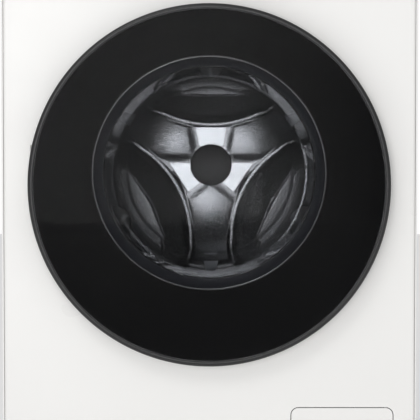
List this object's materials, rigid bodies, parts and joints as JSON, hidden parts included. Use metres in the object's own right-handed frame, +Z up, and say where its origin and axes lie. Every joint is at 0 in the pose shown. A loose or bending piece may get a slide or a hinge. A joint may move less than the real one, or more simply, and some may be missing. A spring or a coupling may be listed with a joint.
{
  "type": "front load washing machine",
  "caption": "Front load washing machine with a large round glass door, a sprung tub and drum, direct drive motor, dispenser drawer, dial and filter flap.",
  "frame": {"origin": "on the floor, under the middle of the whole machine", "axes": "+Z up, the door faces -Y, +X to the right of someone facing the door"},
  "size_m": [0.6, 0.614, 0.85],
  "materials": {
    "white_enamel": "smooth white enamel",
    "worktop_laminate": "white laminate",
    "white_plastic": "satin moulded plastic",
    "zinc_sheet": "galvanised sheet",
    "base_steel": "grey paint",
    "black_gloss": "glossy black",
    "circuit_green": "solder mask",
    "pale_plastic": "moulded",
    "black_rubber": "moulded rubber",
    "grey_plastic": "glass-filled moulding",
    "zinc_steel": "zinc plated",
    "grey_rubber": "moulded rubber",
    "dial_metal": "turned",
    "blue_plastic": "moulded",
    "black_plastic": "moulded",
    "concrete": "cast",
    "copper_winding": "enamelled wire",
    "heater_steel": "drawn tube",
    "stainless": "polished stainless",
    "hub_grey": "satin",
    "cast_alloy": "cast",
    "ring_grey": "dark grey satin",
    "cover_glass": "smoked",
    "bowl_glass": "clear"
  },
  "bodies": {
    "cabinet": {"side_panel_left": "white_enamel", "side_panel_right": "white_enamel", "front_panel": "white_enamel", "back_panel": "zinc_sheet", "rear_cover": "white_enamel", "top_plate": "worktop_laminate", "base_pan": "base_steel", "spring_brackets": "zinc_sheet", "control_panel": "white_plastic", "display_window": "black_gloss", "control_board": "circuit_green", "dispenser_housing": "pale_plastic", "inlet_valve": "pale_plastic", "inlet_hoses": "black_rubber", "drain_pump": "grey_plastic", "drain_hose": "grey_plastic", "door_hinge": "zinc_steel", "door_lock": "grey_plastic", "cord_gland": "black_rubber", "cabinet_fasteners": "zinc_steel", "gasket": "grey_rubber", "dispenser_hose": "black_rubber", "sump_hose": "black_rubber", "suspension_springs": "zinc_steel"},
    "tub": {"tub_front": "grey_plastic", "tub_rear": "grey_plastic", "tub_screws": "zinc_steel", "counterweights": "concrete", "bearings": "zinc_steel", "shaft_seal": "black_rubber", "stator": "copper_winding", "heater": "heater_steel"},
    "drum": {"drum_shell": "stainless", "drum_back": "stainless", "lifters": "stainless", "hub_cap": "hub_grey", "spider_shaft": "cast_alloy", "rotor": "zinc_steel"},
    "door": {"door_ring": "ring_grey", "door_cover": "cover_glass", "door_frame": "black_plastic", "door_bowl": "bowl_glass", "hinge_arm": "zinc_steel"},
    "hook": {"door_hook": "zinc_steel"},
    "dial": {"program_dial": "dial_metal"},
    "power_key": {"power_button": "dial_metal"},
    "start_key": {"start_button": "dial_metal"},
    "drawer": {"drawer_front": "white_plastic", "drawer_tray": "pale_plastic", "softener_cover": "blue_plastic"},
    "flap": {"filter_flap": "white_enamel"},
    "strainer": {"pump_filter": "blue_plastic"},
    "level_front_left": {"foot_front_left": "zinc_steel"},
    "level_front_right": {"foot_front_right": "zinc_steel"},
    "level_back_left": {"foot_back_left": "zinc_steel"},
    "level_back_right": {"foot_back_right": "zinc_steel"},
    "strut_tube_left": {"damper_tube_left": "black_plastic"},
    "strut_rod_left": {"damper_rod_left": "zinc_steel"},
    "strut_tube_right": {"damper_tube_right": "black_plastic"},
    "strut_rod_right": {"damper_rod_right": "zinc_steel"}
  },
  "joints": [
    {"name": "door_swing", "type": "hinge", "parent": "cabinet", "child": "door", "pos_m": [-0.252, -0.285, 0.468], "axis": [0, 0, -1], "range_deg": [0, 135]},
    {"name": "hook_pivot", "type": "hinge", "parent": "door", "child": "hook", "pos_m": [0.216, -0.277, 0.468], "axis": [0, 0, -1], "range_deg": [0, 12], "stiffness_Nm_per_rad": 0.3, "springref_deg": -11.46},
    {"name": "dial_turn", "type": "hinge", "parent": "cabinet", "child": "dial", "pos_m": [0, -0.277, 0.7875], "axis": [0, -1, 0], "continuous": true},
    {"name": "power_press", "type": "slide", "parent": "cabinet", "child": "power_key", "axis": [0, 1, 0], "range_m": [0, 0.0015], "stiffness_N_per_m": 400, "springref_m": -0.002},
    {"name": "start_press", "type": "slide", "parent": "cabinet", "child": "start_key", "axis": [0, 1, 0], "range_m": [0, 0.0015], "stiffness_N_per_m": 400, "springref_m": -0.002},
    {"name": "drawer_slide", "type": "slide", "parent": "cabinet", "child": "drawer", "axis": [0, -1, 0], "range_m": [0, 0.2]},
    {"name": "flap_swing", "type": "hinge", "parent": "cabinet", "child": "flap", "pos_m": [0.1925, -0.2625, 0.0485], "axis": [1, 0, 0], "range_deg": [0, 95]},
    {"name": "strainer_turn", "type": "hinge", "parent": "cabinet", "child": "strainer", "pos_m": [0.1925, -0.237, 0.088], "axis": [0, -1, 0], "range_deg": [0, 180]},
    {"name": "tub_bounce", "type": "slide", "parent": "cabinet", "child": "tub", "axis": [0, 0, 1], "range_m": [-0.012, 0.012], "stiffness_N_per_m": 12000, "springref_m": 0.02771, "deforming": ["gasket", "dispenser_hose", "sump_hose", "suspension_springs"]},
    {"name": "drum_spin", "type": "hinge", "parent": "tub", "child": "drum", "pos_m": [0, 0.203, 0.468], "axis": [0, 1, 0], "continuous": true},
    {"name": "strut_swing_left", "type": "hinge", "parent": "cabinet", "child": "strut_tube_left", "pos_m": [-0.185, 0.033, 0.072], "axis": [0, -1, 0], "range_deg": [-2.1, 2.1]},
    {"name": "strut_stroke_left", "type": "slide", "parent": "strut_tube_left", "child": "strut_rod_left", "axis": [0.4576, 0, 0.8891], "range_m": [-0.0108, 0.0108]},
    {"name": "strut_swing_right", "type": "hinge", "parent": "cabinet", "child": "strut_tube_right", "pos_m": [0.185, 0.033, 0.072], "axis": [0, 1, 0], "range_deg": [-2.1, 2.1]},
    {"name": "strut_stroke_right", "type": "slide", "parent": "strut_tube_right", "child": "strut_rod_right", "axis": [-0.4576, 0, 0.8891], "range_m": [-0.0108, 0.0108]},
    {"name": "level_front_left_screw", "type": "slide", "parent": "cabinet", "child": "level_front_left", "axis": [0, 0, -1], "range_m": [0, 0.015]},
    {"name": "level_front_right_screw", "type": "slide", "parent": "cabinet", "child": "level_front_right", "axis": [0, 0, -1], "range_m": [0, 0.015]},
    {"name": "level_back_left_screw", "type": "slide", "parent": "cabinet", "child": "level_back_left", "axis": [0, 0, -1], "range_m": [0, 0.015]},
    {"name": "level_back_right_screw", "type": "slide", "parent": "cabinet", "child": "level_back_right", "axis": [0, 0, -1], "range_m": [0, 0.015]}
  ],
  "couplings": [
    {"joint": "strut_swing_left", "follows": "tub_bounce", "rad_per_m": 2.992},
    {"joint": "strut_stroke_left", "follows": "tub_bounce", "ratio": 0.8891},
    {"joint": "strut_swing_right", "follows": "tub_bounce", "rad_per_m": 2.992},
    {"joint": "strut_stroke_right", "follows": "tub_bounce", "ratio": 0.8891}
  ]
}
